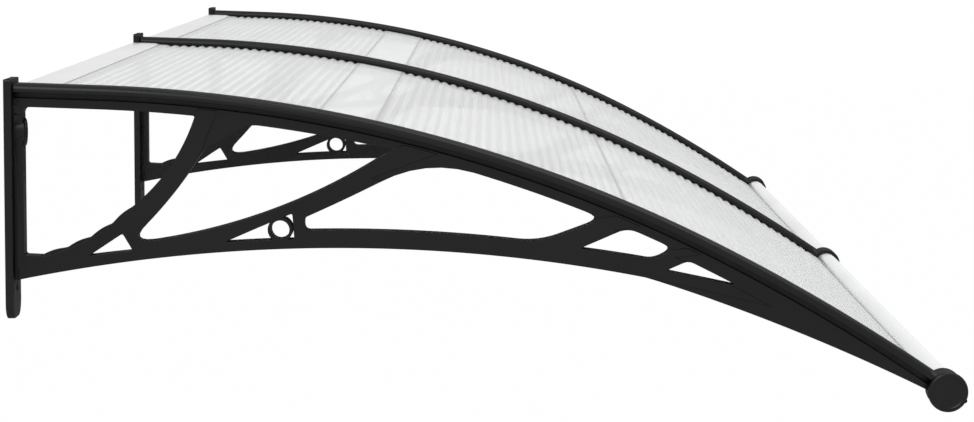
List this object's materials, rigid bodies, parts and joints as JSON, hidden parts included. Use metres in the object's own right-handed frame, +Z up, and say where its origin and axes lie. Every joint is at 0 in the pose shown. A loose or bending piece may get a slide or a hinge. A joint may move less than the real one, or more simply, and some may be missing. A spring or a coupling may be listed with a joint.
{
  "type": "door canopy",
  "caption": "Curved door canopy: clear twin-wall sheets on black truss arms with wall plates, black cover strips and slim aluminium bars along the wall and the front edge.",
  "frame": {"origin": "rear face of the middle arm's wall plate, at the middle of its height and width", "axes": "+X out from the wall, +Y along the wall to the right arm, +Z up"},
  "size_m": [0.75, 2, 0.2603],
  "materials": {
    "black_plastic": "satin, finely grained",
    "clear_polycarbonate": "clear twin-wall polycarbonate",
    "aluminium": "satin anodised"
  },
  "bodies": {
    "root": {"left_arm": "black_plastic", "middle_arm": "black_plastic", "right_arm": "black_plastic", "left_cover_strip": "black_plastic", "middle_cover_strip": "black_plastic", "right_cover_strip": "black_plastic", "left_sheet": "clear_polycarbonate", "left_wall_bar": "aluminium", "left_front_bar": "aluminium", "left_end_cap": "black_plastic", "right_sheet": "clear_polycarbonate", "right_wall_bar": "aluminium", "right_front_bar": "aluminium", "right_end_cap": "black_plastic"}
  },
  "joints": []
}
